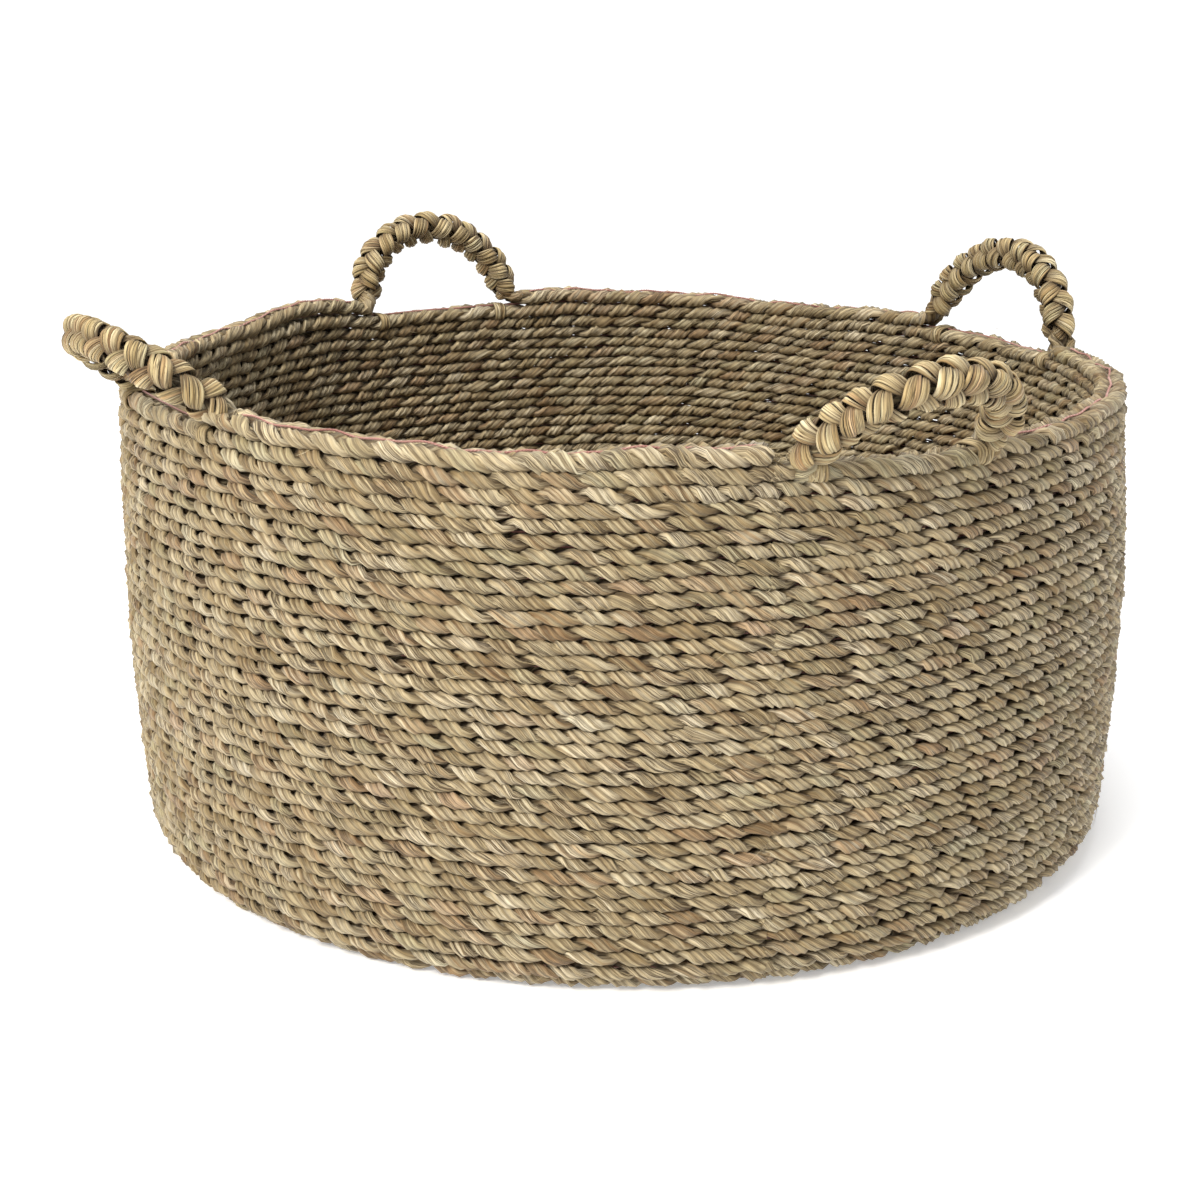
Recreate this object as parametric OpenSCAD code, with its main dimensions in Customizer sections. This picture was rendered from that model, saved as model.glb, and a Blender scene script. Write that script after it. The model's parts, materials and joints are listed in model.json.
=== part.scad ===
// Round storage basket of plaited seagrass, coiled and sewn, with four plaited loop handles.
// Millimetres, +Z up, origin at the centre of the underside, front towards -Y.
// A flat three-strand braid is coiled on edge for the base, turns over at the corner, and is then
// stacked flat for the wall, so that the wall is as thick as the braid is wide.

/* [Basket] */
// Outside diameter at the rim
basket_d = 547; // [440:1:660]
// How far the wall swells outwards half-way up
wall_swell = 6; // [0:0.5:12]
// Number of courses in the wall below the rim course
wall_courses = 36; // [24:1:43]
// Radius of the bend from the base up into the wall, at the middle of the braid
corner_r = 15; // [13:0.5:20]
// Depth of the flat that the underside is worn to
base_flat = 0.4; // [0.2:0.1:0.8]

/* [Braid] */
// Width of the flat braid, which is the thickness of the wall and of the base
braid_w = 15; // [12:0.5:18]
// Thickness of the braid in the base and the wall
braid_t = 6.8; // [5.6:0.1:8.2]
// Thickness of the heavier braid in the top wall course and the rim
rim_braid_t = 8.4; // [7:0.1:10.1]
// Gap between one course and the next
seam_gap = 0.1; // [0.05:0.05:0.3]

/* [Handles] */
// Distance between the two feet of the front right, back right, back left and front left handle
handle_spans = [92, 115, 93, 95];
// Height of each handle's centreline above its feet
handle_rises = [54, 50, 50, 58];
// Direction in which each handle stands, in degrees round from +X
handle_azimuths = [297.5, 27.8, 119, 213.5];
// How far each handle leans outwards at rest, in degrees
handle_leans = [46, 8, 2, 54];
// Outside diameter of the plaited cover
plait_d = 21; // [17:0.5:22]
// Radial clearance between the core and the plaited cover
plait_clear = 0.15; // [0.1:0.05:0.4]
// Distance from a foot to where the plaited cover begins
plait_start = 9.5; // [8:0.5:12]
// Clearance round a foot, where the handle bends
foot_clear = 0.3; // [0.3:0.05:0.6]

/* [Ties and thread] */
// Width of the flat strand that ties a handle foot to the wall
tie_w = 4; // [3:0.2:5]
// Thickness of that strand
tie_t = 1.4; // [1:0.1:1.6]
// Clearance round a tie
tie_clear = 0.15; // [0.1:0.05:0.3]
// Diameter of the sewing thread
thread_d = 1.1; // [0.8:0.1:1.4]
// Clearance round the sewing thread in its groove
thread_clear = 0.08; // [0.05:0.01:0.15]
// Diameter of a thread knot
knot_d = 3.4; // [2.4:0.2:4.4]

/* [Hidden] */
$fn = 96;
seagrass = "#b7a276";
seagrass_dark = "#9c8459";
seagrass_pale = "#cdb98a";
thread_pink = "#a86a62";
// Flat sides round the lobes of a braid, and round the thread and its groove
braid_sides = 12;
thread_sides = 8;

// Names, in the order of the lists above
handle_names = ["front_right", "back_right", "back_left", "front_left"];
HANDLES = [0 : len(handle_names) - 1];
// Each visible knot: direction in degrees, and the seam that it sits in, counted down from the rim
knots = [[281, 2], [280, 3], [288, 4], [234, 3], [341, 2], [288, 33]];

// Path of the braid's middle: flat base, quarter bend, then the wall
pitch = braid_t + seam_gap;
wall_r = (basket_d - braid_w) / 2;
base_z = braid_w / 2 - base_flat;
base_edge_r = wall_r - corner_r;
bend_length = corner_r * PI / 2;
base_turns = floor(base_edge_r / pitch) - 1;
start_r = base_edge_r - base_turns * pitch;

// Heights of the heavy top course and of the rim
top_z = path_z(wall_courses - 1) + (braid_t + rim_braid_t) / 2 + seam_gap;
rim_z = top_z + rim_braid_t + seam_gap;

// Direction in which the path climbs after s courses, in degrees from level
function path_deg(s) = min(90, s * pitch / corner_r * 180 / PI);
function path_z(s) =
    base_z + corner_r * (1 - cos(path_deg(s))) + max(0, s * pitch - bend_length);
function swell(z) = wall_swell * 4 * (z / rim_z) * (1 - z / rim_z);
function path_r(s, z) = base_edge_r + corner_r * sin(path_deg(s)) + swell(z);
// Height, distance from the axis and thickness of wall course k, where course 1 is the lowest
function course_z(k) = k == wall_courses ? top_z : path_z(k);
function course_r(k) = path_r(k, course_z(k));
function course_t(k) = k < wall_courses ? braid_t : rim_braid_t;
// Seam k lies on top of course k, and seam 0 below course 1
function seam_z(k) = k == wall_courses ? top_z + (rim_braid_t + seam_gap) / 2 : path_z(k + 0.5);
function seam_r(k) = path_r(k + 0.5, seam_z(k));
// In the bend a course is a wedge, thinner on its inner side and thicker on its outer side
wedge = sin(pitch / corner_r * 90 / PI);
bent_outer_t = 2 * ((corner_r + braid_w / 2) * wedge - seam_gap) / (1 + wedge);
bent_inner_t = 2 * ((corner_r - braid_w / 2) * wedge - seam_gap) / (1 - wedge);
function outer_t(k) = path_deg(k) < 90 ? bent_outer_t : course_t(k);
function inner_t(k) = path_deg(k) < 90 ? bent_inner_t : course_t(k);

// Places of the two threads of the rim: in the seam under it, and along the middle of its top
rim_threads = [
    [seam_r(wall_courses), seam_z(wall_courses)],
    [wall_r, rim_z + rim_braid_t / 2]
];

// Handles: an arc through both feet, which turns about the line through them
foot_d = rim_braid_t - 2 * foot_clear;
core_d = foot_d - 0.4;
function half_angle(i) = asin(handle_spans[i] / 2 / wall_r);
function arc_r(i) = (pow(handle_spans[i] / 2, 2) + pow(handle_rises[i], 2)) / (2 * handle_rises[i]);
function arc_half(i) = acos((arc_r(i) - handle_rises[i]) / arc_r(i));
function plait_trim(i) = plait_start / arc_r(i) * 180 / PI;
function deg_at_wall(length) = length / wall_r * 180 / PI;
// Angle round the basket between a foot and the cut end of the rim beside it
function rim_cut(i) =
    deg_at_wall(foot_d / 2 + 2 * foot_clear + plait_start * tan(max(0, arc_half(i) - 90)));
// Angle round the basket between a foot and its tie, on the side towards the handle's middle
tie_offset = deg_at_wall(foot_d / 2 + foot_clear + tie_clear + tie_w / 2);
// Rim thread keeps this far from a foot, so that the plait can swing over the rim
thread_setback = deg_at_wall(14);

function two_digits(k) = str(k < 10 ? "0" : "", k);
function course_name(k) = str("wall_course_", two_digits(k));
function part_name(i, part) = str(handle_names[i], "_", part);

// Section of a flat braid, with its outer edge towards +X
module braid_section(outer, inner) {
    outer_x = (braid_w - outer) / 2;
    inner_x = (inner - braid_w) / 2;
    translate([outer_x, 0]) circle(d = outer, $fn = braid_sides);
    translate([inner_x, 0]) circle(d = inner, $fn = braid_sides);
    polygon([
        [inner_x, -inner / 2],
        [outer_x, -outer / 2],
        [outer_x, outer / 2],
        [inner_x, inner / 2]
    ]);
}

// Section of a long round-ended slot, used for what goes round a braid
module slot_section(width, thickness) {
    for (side = [-1, 1]) translate([side * (width - thickness) / 2, 0]) circle(d = thickness);
    square([width - thickness, thickness], center = true);
}

module thread_section(extra = 0) {
    circle(d = thread_d + 2 * extra, $fn = thread_sides);
}

// Turns a section round the basket's axis, from angle a to angle b
module sweep(a, b) {
    rotate([0, 0, a]) rotate_extrude(angle = b - a) children();
}

// The underside of the base is worn flat where it meets the floor
module worn_flat() {
    difference() {
        children();
        translate([-braid_w, -braid_w]) square([wall_r + 2 * braid_w, braid_w]);
    }
}

// The first turn, which closes on the centre
module base_start() {
    color(seagrass_dark) rotate_extrude() worn_flat() difference() {
        union() {
            translate([start_r, base_z]) rotate(-90) braid_section(braid_t, braid_t);
            square([start_r, braid_w - 2 * base_flat]);
        }
        translate([-2 * start_r, -braid_w]) square([2 * start_r, 3 * braid_w]);
    }
}

// The rest of the base: the braid stands on edge, laid round and round and sewn into a mat
module base_coil() {
    color(seagrass) rotate_extrude() worn_flat() union() {
        for (j = [1 : base_turns])
            translate([start_r + j * pitch, base_z])
                rotate(-90)
                braid_section(braid_t, j < base_turns ? braid_t : bent_inner_t);
        translate([start_r + pitch, base_z - thread_d / 2])
            square([(base_turns - 1) * pitch, thread_d]);
    }
}

// Clearance that the ties need in the braid below the top course
module tie_channels() {
    for (i = HANDLES) foot_tie_bands(i, 0, tie_clear);
}

module wall_course(k) {
    color(k % 3 == 0 ? seagrass_dark : seagrass) difference() {
        rotate_extrude() difference() {
            translate([course_r(k), course_z(k)])
                rotate(path_deg(k) - 90)
                braid_section(outer_t(k), inner_t(k));
            for (seam = [k - 1, k])
                translate([seam_r(seam), seam_z(seam)]) thread_section(thread_clear);
        }
        if (k == wall_courses - 1) tie_channels();
    }
}

// Thread in the middle of every seam of the wall
module wall_thread() {
    color(thread_pink) {
        for (k = [0 : wall_courses - 2])
            rotate_extrude() translate([seam_r(k), seam_z(k)]) thread_section();
        difference() {
            rotate_extrude()
                translate([seam_r(wall_courses - 1), seam_z(wall_courses - 1)])
                thread_section();
            tie_channels();
        }
    }
}

// Turns a section along the rim, from setback beyond handle i to setback before the next
module rim_sweep(i, setback, next_setback) {
    next = (i + 1) % len(handle_names);
    a = handle_azimuths[i] + half_angle(i) + setback;
    b = handle_azimuths[next] - half_angle(next) - next_setback;
    sweep(a, b < a ? b + 360 : b) children();
}

// Rim braid from one handle round to the next
module rim_braid(i) {
    next = (i + 1) % len(handle_names);
    color(seagrass_pale) rim_sweep(i, rim_cut(i), rim_cut(next)) difference() {
        translate([wall_r, rim_z]) braid_section(rim_braid_t, rim_braid_t);
        for (spot = rim_threads) translate(spot) thread_section(thread_clear);
    }
}

// Thread under each length of rim braid and along the middle of its top
module rim_thread() {
    color(thread_pink) for (i = HANDLES)
        for (spot = rim_threads)
            rim_sweep(i, thread_setback, thread_setback) translate(spot) thread_section();
}

// Knots in the outer grooves, where one length of thread was tied off
module thread_knots() {
    color(thread_pink) for (knot = knots) {
        k = wall_courses - knot[1];
        reach = (braid_t + knot_d) / 2 + thread_clear;
        half_gap = (course_z(k + 1) - course_z(k)) / 2;
        edge_r = max(course_r(k), course_r(k + 1)) + (braid_w - braid_t) / 2;
        rotate([0, 0, knot[0]])
            translate([
                edge_r + sqrt(reach * reach - half_gap * half_gap),
                0,
                (course_z(k) + course_z(k + 1)) / 2
            ])
            sphere(d = knot_d);
    }
}

// Moves a handle from its own frame, feet on the X axis, to its place on the rim
module at_handle(i) {
    rotate([0, 0, handle_azimuths[i]])
        translate([wall_r * cos(half_angle(i)), 0, rim_z])
        rotate([0, handle_leans[i], 0])
        rotate([0, 0, 90])
        children();
}

// The handle's arc, swept by a section and shortened at both feet by an angle
module handle_arc(i, trim) {
    translate([0, 0, handle_rises[i] - arc_r(i)])
        rotate([90, 0, 0])
        rotate([0, 0, 90 - arc_half(i) + trim])
        rotate_extrude(angle = 2 * (arc_half(i) - trim))
        translate([arc_r(i), 0])
        children();
}

// Core of a handle, with a round foot at each end
module handle_core(i) {
    color(seagrass_dark) at_handle(i) {
        handle_arc(i, 0) circle(d = core_d);
        for (side = [-1, 1]) translate([side * handle_spans[i] / 2, 0, 0]) sphere(d = foot_d);
    }
}

// Plaited cover round the core
module handle_plait(i) {
    color(seagrass_pale) at_handle(i) handle_arc(i, plait_trim(i)) difference() {
        circle(d = plait_d);
        circle(d = core_d + 2 * plait_clear);
    }
}

// Flat bands round the top wall course beside each foot, grown all round by extra
module foot_tie_bands(i, hollow, extra) {
    half_width = deg_at_wall(tie_w / 2 + extra);
    bore = 2 * tie_clear;
    outside = 2 * (tie_clear + tie_t + extra);
    for (side = [-1, 1]) {
        middle = handle_azimuths[i] + side * (half_angle(i) - tie_offset);
        sweep(middle - half_width, middle + half_width)
            translate([course_r(wall_courses), top_z])
            difference() {
                slot_section(braid_w + outside, rim_braid_t + outside);
                if (hollow == 1) slot_section(braid_w + bore, rim_braid_t + bore);
            }
    }
}

module foot_ties(i) {
    color(seagrass_pale) foot_tie_bands(i, 1, 0);
}

base_start();
base_coil();
wall_thread();
rim_thread();
thread_knots();
for (k = [1 : wall_courses])
    wall_course(k);
for (i = HANDLES) {
    rim_braid(i);
    handle_core(i);
    handle_plait(i);
    foot_ties(i);
}
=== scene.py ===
import json
import math
from collections import namedtuple

import bmesh
import bpy
import numpy as np
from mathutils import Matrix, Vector


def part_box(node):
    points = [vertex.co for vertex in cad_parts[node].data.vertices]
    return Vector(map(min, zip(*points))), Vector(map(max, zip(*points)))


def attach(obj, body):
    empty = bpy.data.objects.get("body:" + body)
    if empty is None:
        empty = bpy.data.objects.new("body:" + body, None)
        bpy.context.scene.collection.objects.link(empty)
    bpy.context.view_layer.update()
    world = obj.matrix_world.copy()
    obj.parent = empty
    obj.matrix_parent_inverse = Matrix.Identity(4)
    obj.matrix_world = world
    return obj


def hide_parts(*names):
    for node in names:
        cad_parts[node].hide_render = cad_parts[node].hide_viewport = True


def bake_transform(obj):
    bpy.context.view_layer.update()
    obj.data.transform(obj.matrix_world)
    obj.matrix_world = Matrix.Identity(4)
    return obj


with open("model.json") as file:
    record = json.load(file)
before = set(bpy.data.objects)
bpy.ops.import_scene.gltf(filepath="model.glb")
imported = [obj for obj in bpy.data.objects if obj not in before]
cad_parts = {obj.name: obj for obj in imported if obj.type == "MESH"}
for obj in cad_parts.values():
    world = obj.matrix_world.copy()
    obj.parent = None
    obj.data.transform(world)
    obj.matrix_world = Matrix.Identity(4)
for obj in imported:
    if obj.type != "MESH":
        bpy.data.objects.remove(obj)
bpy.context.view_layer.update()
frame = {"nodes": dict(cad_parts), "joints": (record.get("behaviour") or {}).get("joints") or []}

# Round storage basket of plaited seagrass. One long three-strand braid is coiled on edge for the
# base and flat for the wall. Its top length rises at four places as the core of a plaited handle.
MM = 0.001
TURN = 2 * math.pi

# ---------------------------------------------------------------- sizes, in metres and degrees
COURSES = sum(name.startswith("wall_course_") for name in frame["nodes"])
JOINTS = {joint["child"]: joint for joint in frame["joints"]}
RIM_Z = frame["joints"][0]["pos_m"][2]
BRAID_WIDTH = 15 * MM
COURSE_PITCH = 6.9 * MM
RIM_PITCH = 8.5 * MM
CORNER_RADIUS = 15 * MM
FIRST_UPRIGHT = 4                # the first wall course above the bend
PLAIT_PERIOD = 47 * MM           # length in which a strand goes across the braid and back
WALL_RINGS = 14                  # rings of faces in one such period
BASE_RINGS = 10
SWAY = 5.5 * MM                  # how far a strand's middle swings to each side
HUMP = 1.45 * MM                 # how far it rises and dips where it crosses another
BRAID_END = 284                  # direction in which the braid's upper end lies
END_SHARE = 0.3                  # part of a pitch by which that end lies above the rim's level
OPEN_CENTRE = 0.6                # part of a turn left open in the middle of the base
RIM_GROWTH = 0.26                # how much heavier the braid is at the rim than on the wall
PATH_STEPS = 720                 # steps in one turn, for measuring the braid's length

# Swells of the rim: direction and half-width in degrees, and height. They fade downwards within
# a few courses.
RIM_SWELLS = (
    (0, 25, -4 * MM), (60, 12, -4 * MM), (100, 20, 3 * MM), (140, 10, 7 * MM),
    (168, 18, -4 * MM), (208, 16, 5 * MM), (258, 14, -5 * MM), (305, 18, -5 * MM),
)
WAVE_FADE = 38 * MM
# Each knot in the sewing thread: direction, and the seam that it sits in, counted from the rim
KNOTS = ((281, 2), (280, 3), (288, 4), (234, 3), (341, 2), (288, 33))


def unit(vectors):
    return vectors / np.linalg.norm(vectors, axis=-1, keepdims=True)


def ease(share):
    share = np.clip(share, 0, 1)
    return share * share * (3 - 2 * share)


def ripple(rng, position, wavelengths, amount):
    """Smooth unevenness along a length: one sine for each wavelength, at a random phase."""
    waves = [np.sin(TURN * position / length + rng.uniform(0, TURN)) for length in wavelengths]
    return amount * sum(waves) / len(waves) ** 0.5


# ---------------------------------------------------------------- the long braid's path
def upright_levels():
    """Height and radius of the braid's middle at each upright course, and above it at the rim."""
    heights, radii = [], []
    for k in range(FIRST_UPRIGHT, COURSES + 1):
        low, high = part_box(f"wall_course_{k:02d}")
        heights.append((low.z + high.z) / 2)
        radii.append(high.x - BRAID_WIDTH / 2)
    heights += [RIM_Z, RIM_Z + RIM_PITCH]
    radii += [radii[-1]] * 2
    return np.array(heights), np.array(radii)


HEIGHTS, RADII = upright_levels()
WALL_RADIUS = RADII[-1]
LAST = COURSES + 1 + END_SHARE
BEND_LENGTH = CORNER_RADIUS * math.pi / 2
BASE_Z = HEIGHTS[0] - CORNER_RADIUS - (FIRST_UPRIGHT * COURSE_PITCH - BEND_LENGTH)


def climb_at(course):
    return np.clip(course * COURSE_PITCH / CORNER_RADIUS, 0, math.pi / 2)


def height_at(course):
    climb = climb_at(course)
    bend = BASE_Z + CORNER_RADIUS * (1 - np.cos(climb))
    bend = bend + np.maximum(0, course * COURSE_PITCH - BEND_LENGTH)
    upright = np.interp(course, FIRST_UPRIGHT + np.arange(len(HEIGHTS)), HEIGHTS)
    return np.where(course < FIRST_UPRIGHT, bend, upright)


def radius_at(course):
    bend = RADII[0] - CORNER_RADIUS * (1 - np.sin(climb_at(course)))
    bend = bend + np.minimum(0, course) * COURSE_PITCH
    upright = np.interp(course, FIRST_UPRIGHT + np.arange(len(RADII)), RADII)
    return np.where(course < FIRST_UPRIGHT, bend, upright)


def azimuth_at(course):
    """The braid's direction in radians. It climbs one course in each turn."""
    return math.radians(BRAID_END) + TURN * (course - LAST)


def course_over(azimuth, turn):
    """How many courses up the braid lies where turn number turn passes that direction."""
    return turn - 1 + END_SHARE + ((azimuth - math.radians(BRAID_END)) / TURN) % 1


def rim_wave(azimuth):
    lift = 0 * azimuth
    for direction, width, height in RIM_SWELLS:
        apart = (azimuth - math.radians(direction) + math.pi) % TURN - math.pi
        lift = lift + height * np.exp(-(apart / math.radians(width)) ** 2)
    return lift


def settled(azimuth, radius, height):
    """Radius and height after the basket has lost its perfect roundness."""
    up = np.clip(height / RIM_Z, 0, 1.1)
    fade = np.exp(-np.maximum(RIM_Z - height, 0) / WAVE_FADE)
    lift = rim_wave(azimuth) * fade
    lift = lift + up * MM * (
        0.5 * np.sin(7 * azimuth + 14 * up) + 0.4 * np.sin(17 * azimuth - 23 * up + 1)
        + 0.3 * np.sin(31 * azimuth + 9 * up + 2)
    )
    lift = lift * np.clip(height / (30 * MM) - 0.4, 0, 1)
    swell = up * MM * (
        1.6 * np.sin(2 * azimuth + 0.6) + 1.0 * np.sin(3 * azimuth + 2.1 + 2 * up)
        + 0.6 * np.sin(9 * azimuth + 8 * up) + 0.4 * np.sin(23 * azimuth - 17 * up)
    )
    return radius + swell, height + lift


Route = namedtuple("Route", "course length middle wide thick stout")


def place(course, wide_share=0.0, thick_share=0.0):
    """Points on the braid's path, and the directions of its width and its thickness there."""
    azimuth = azimuth_at(course)
    radius, height = settled(azimuth, radius_at(course), height_at(course))
    outward = np.stack([np.cos(azimuth), np.sin(azimuth), np.zeros_like(azimuth)], -1)
    middle = outward * radius[..., None]
    middle[..., 2] = height
    turned = climb_at(course) - math.pi / 2
    level, steep = np.cos(turned)[..., None], np.sin(turned)[..., None]
    upward = np.array([0.0, 0.0, 1.0])
    wide = outward * level + upward * steep
    thick = upward * level - outward * steep
    return middle + wide * wide_share + thick * thick_share, wide, thick


def stout_at(course):
    """The braid grows heavier towards the rim."""
    return 1 + RIM_GROWTH * ease(course - (COURSES - 1.6))


def long_braid():
    """The whole braid from the middle of the base to its upper end, as evenly spaced points."""
    first = -(RADII[0] - CORNER_RADIUS) / COURSE_PITCH + OPEN_CENTRE
    fine = np.arange(first, LAST, 1 / PATH_STEPS)
    run = np.concatenate([[0], np.cumsum(TURN * radius_at(fine[:-1]) / PATH_STEPS)])
    base_run = np.interp(END_SHARE, fine, run)
    spots = np.concatenate([
        np.arange(0, base_run, PLAIT_PERIOD / BASE_RINGS),
        np.arange(base_run, run[-1], PLAIT_PERIOD / WALL_RINGS),
    ])
    course = np.interp(spots, run, fine)
    middle, wide, thick = place(course)
    return Route(course, spots, middle, wide, thick, stout_at(course))


# ---------------------------------------------------------------- strands
Strand = namedtuple("Strand", "line across size tone tint depth strip")
scene = bpy.context.scene


def tilt_of(line, across):
    """Tilt that turns a curve's section so that its width lies along across."""
    along = unit(np.gradient(line, axis=0))
    side = unit(np.cross(along, (0.0, 0.0, 1.0)))
    top = np.cross(side, along)
    return np.arctan2(-(across * top).sum(1), (across * side).sum(1))


def section(name, width, thickness, corners):
    """A closed flat outline, listed clockwise in shares of its width and thickness."""
    curve = bpy.data.curves.new(name, "CURVE")
    curve.dimensions = "2D"
    spline = curve.splines.new("POLY")
    spline.points.add(len(corners) - 1)
    spline.use_cyclic_u = True
    for point, (x, y) in zip(spline.points, corners):
        point.co = (x * width, y * thickness, 0, 1)
    holder = bpy.data.objects.new(name, curve)
    scene.collection.objects.link(holder)
    holder.hide_render = True
    return holder


# Three blades side by side on each broad face, with furrows between them
BUNDLE_CORNERS = (
    (0.43, -0.30), (0.19, -0.34), (0, -0.5), (-0.19, -0.34), (-0.43, -0.30),
    (-0.43, 0.30), (-0.19, 0.34), (0, 0.5), (0.19, 0.34), (0.43, 0.30),
)
# Ridge value at each corner, 1 on a blade's crest and 0 in a furrow; the material paints shade in
# furrows from it
BUNDLE_RIDGES = (0.75, 0, 1, 0, 0.75, 0.75, 0, 1, 0, 0.75)
COARSE_CORNERS = ((0.42, -0.3), (0, -0.5), (-0.42, -0.3), (-0.42, 0.3), (0, 0.5), (0.42, 0.3))
COARSE_RIDGES = (0.3, 1, 0.3, 0.3, 1, 0.3)
BLADE_CORNERS = ((0.5, -0.1), (0, -0.5), (-0.5, -0.1), (-0.36, 0.36), (0, 0.42), (0.36, 0.36))
BLADE_RIDGES = (0, 0.5, 0, 0.8, 1, 0.8)
ROUND_CORNERS = tuple(
    (0.5 * math.cos(-TURN * k / 5), 0.5 * math.sin(-TURN * k / 5)) for k in range(5)
)
HAIR_CORNERS = ((0.5, 0), (-0.3, -0.4), (-0.3, 0.4))

BUNDLE = (section("bundle_section", 6.5 * MM, 4.4 * MM, BUNDLE_CORNERS), BUNDLE_RIDGES)
COARSE = (section("coarse_section", 6.4 * MM, 3.8 * MM, COARSE_CORNERS), COARSE_RIDGES)
BLADE = (section("blade_section", 2.5 * MM, 1.6 * MM, BLADE_CORNERS), BLADE_RIDGES)
THREAD = (section("thread_section", 0.75 * MM, 0.75 * MM, ROUND_CORNERS), (1,) * 5)
HAIR = (section("hair_section", 0.5 * MM, 0.3 * MM, HAIR_CORNERS), (1,) * 3)


def on_every_corner(arrays, sides):
    """Spreads one value for each ring over its corners, in the order of a converted curve."""
    ends = [np.repeat(values[[-1, 0]], sides, axis=0) for values in reversed(arrays)]
    return np.concatenate(ends + [np.repeat(values, sides, axis=0) for values in arrays])


def uneven(rng, count, sides, amount):
    """A smooth random swelling for every corner of a tube."""
    rough = rng.normal(0, 1, (count + 4, sides))
    smooth = sum(rough[k:k + count] * share for k, share in enumerate((1, 2, 3, 2, 1))) / 4.4
    return 1 + amount * smooth


def on_the_floor(corners):
    """The underside is worn flat where it meets the floor."""
    corners[:, 2] = np.maximum(corners[:, 2], 0)
    return corners


def as_mesh(name, strands, shape, rng, roughness, move):
    """One mesh of closed tubes, with a strip of UV for each and what its material reads."""
    outline, ridges = shape
    sides = len(ridges)
    curve = bpy.data.curves.new(name, "CURVE")
    curve.dimensions = "3D"
    curve.twist_mode = "Z_UP"
    curve.bevel_mode = "OBJECT"
    curve.bevel_object = outline
    curve.use_fill_caps = True
    for strand in strands:
        count = len(strand.line)
        spline = curve.splines.new("POLY")
        spline.points.add(count - 1)
        points = np.column_stack([strand.line, np.ones(count)]).astype(np.float32)
        spline.points.foreach_set("co", points.ravel())
        spline.points.foreach_set("radius", strand.size.astype(np.float32))
        tilt = tilt_of(strand.line, strand.across)
        spline.points.foreach_set("tilt", tilt.astype(np.float32))
    holder = bpy.data.objects.new(name, curve)
    scene.collection.objects.link(holder)
    graph = bpy.context.evaluated_depsgraph_get()
    mesh = bpy.data.meshes.new_from_object(holder.evaluated_get(graph))
    bpy.data.objects.remove(holder)
    bpy.data.curves.remove(curve)
    mesh.name = name

    centres = on_every_corner([strand.line for strand in strands], sides)
    bumps = [uneven(rng, len(strand.line), sides, roughness) for strand in strands]
    bumps = np.concatenate(
        [bump[[-1, 0]].ravel() for bump in reversed(bumps)] + [bump.ravel() for bump in bumps]
    )
    corners = np.empty(len(mesh.vertices) * 3, np.float32)
    mesh.vertices.foreach_get("co", corners)
    corners = move(centres + (corners.reshape(-1, 3) - centres) * bumps[:, None])
    mesh.vertices.foreach_set("co", corners.astype(np.float32).ravel())

    for label in ("tone", "tint", "depth"):
        values = on_every_corner([getattr(strand, label) for strand in strands], sides)
        attribute = mesh.attributes.new(label, "FLOAT", "POINT")
        attribute.data.foreach_set("value", values.astype(np.float32))
    ridge = np.tile(np.array(ridges, np.float32), len(mesh.vertices) // sides)
    mesh.attributes.new("ridge", "FLOAT", "POINT").data.foreach_set("value", ridge)

    uv = np.empty(len(mesh.loops) * 2, np.float32)
    mesh.uv_layers[0].data.foreach_get("uv", uv)
    uv = uv.reshape(-1, 2)
    loops = [4 * sides * (len(strand.line) - 1) for strand in strands]
    lengths = [np.linalg.norm(np.diff(strand.line, axis=0), axis=1).sum() for strand in strands]
    first = len(uv) - sum(loops)
    uv[first:, 0] *= np.repeat(lengths, loops)
    uv[first:, 1] += np.repeat([strand.strip for strand in strands], loops)
    mesh.uv_layers[0].data.foreach_set("uv", uv.ravel())

    welded = bmesh.new()
    welded.from_mesh(mesh)
    bmesh.ops.remove_doubles(welded, verts=welded.verts, dist=1e-7)
    welded.to_mesh(mesh)
    welded.free()
    mesh.shade_smooth()
    return mesh


def piece(name, strands, shape, finish, seed, roughness=0.07, move=on_the_floor):
    mesh = as_mesh(name, strands, shape, np.random.default_rng(seed), roughness, move)
    mesh.materials.append(finish)
    made = bpy.data.objects.new(name, mesh)
    scene.collection.objects.link(made)
    return made


# ---------------------------------------------------------------- three-strand braid
HUMPS_BEFORE = 40                # keeps the count of humps above zero


class Shades:
    """Random colour for each visible hump of each strand, drifting slowly along the strand."""

    def __init__(self, seed, humps):
        rng = np.random.default_rng(seed)
        quick = rng.uniform(0, 1, (3, humps))
        slow = rng.uniform(0, 1, (3, humps + 8))
        slow = np.array([np.convolve(row, np.ones(9) / 9, "valid") for row in slow])
        slow = np.clip(0.5 + (slow - 0.5) * 2.4, 0, 1)
        self.table = 0.5 * quick + 0.5 * slow

    def along(self, strand, phase):
        humps = phase / math.pi + HUMPS_BEFORE
        hump = np.floor(humps).astype(int) % self.table.shape[1]
        share = ease((humps % 1) / 0.16)
        row = self.table[strand]
        return row[hump - 1] * (1 - share) + row[hump] * share


HUMP_COUNT = 4300
TONES = Shades(11, HUMP_COUNT)
TINTS = Shades(12, HUMP_COUNT)
FULLNESS = Shades(13, HUMP_COUNT)


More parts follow.
